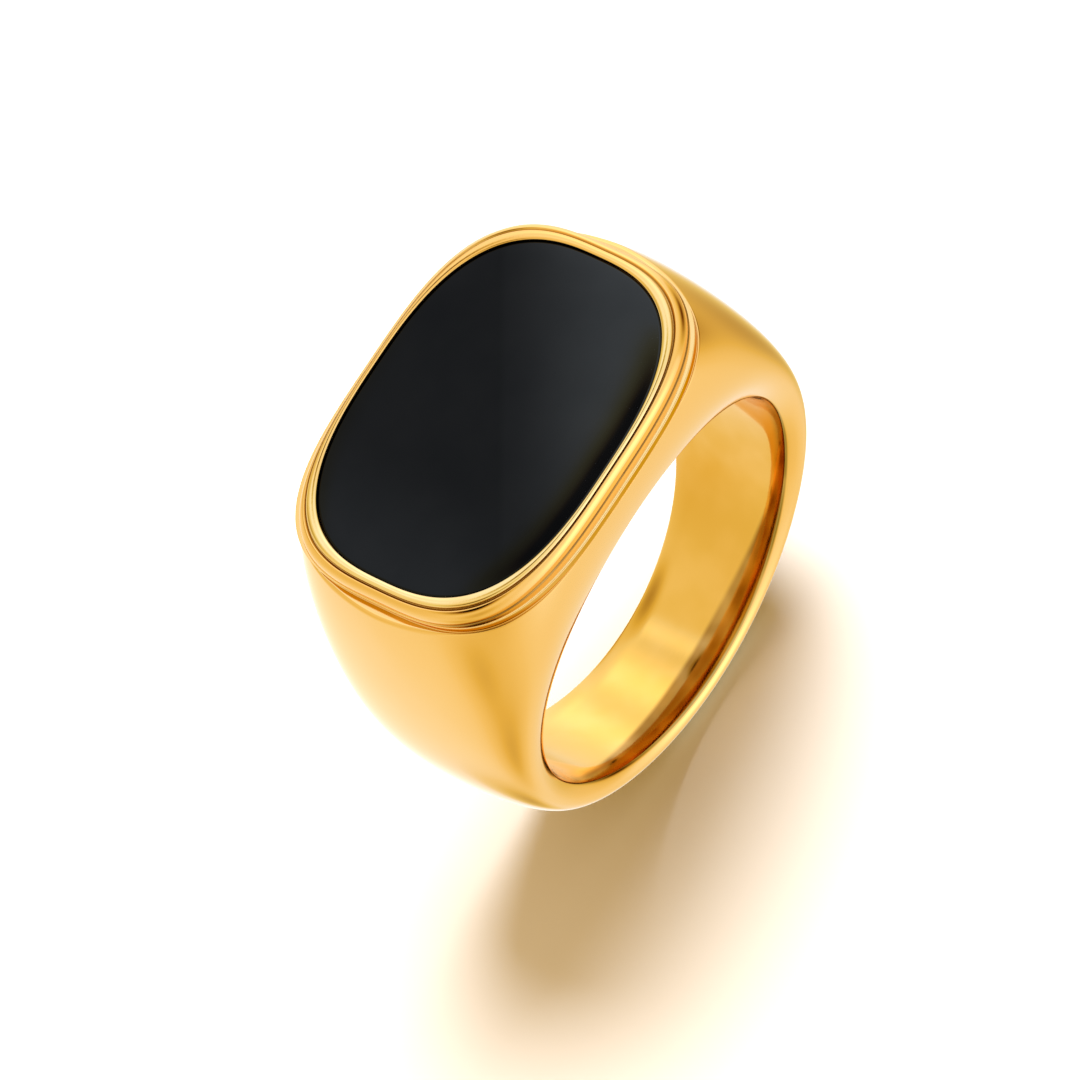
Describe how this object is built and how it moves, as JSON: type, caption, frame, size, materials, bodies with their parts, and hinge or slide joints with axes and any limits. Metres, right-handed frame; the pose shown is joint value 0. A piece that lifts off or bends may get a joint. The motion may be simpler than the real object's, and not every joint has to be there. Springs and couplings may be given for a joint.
{
  "type": "signet ring",
  "caption": "Broad tapered signet ring in polished gold with a flat black cushion-shaped tablet in a raised convex setting.",
  "frame": {"origin": "centre of the finger hole, midway between its two rims", "axes": "+Y along the finger, +Z from the finger hole to the tablet, +X across the finger along the tablet's length"},
  "size_m": [0.0244, 0.015, 0.0242],
  "materials": {
    "gold": "mirror polished yellow gold",
    "solder": "polished gold solder",
    "onyx": "glossy polished black onyx",
    "cement": "cured clear jeweller's cement"
  },
  "bodies": {
    "root": {"ring_body": "gold", "bezel_frame": "gold", "solder_seam": "solder", "onyx_inlay": "onyx", "cement_bed": "cement"}
  },
  "joints": []
}
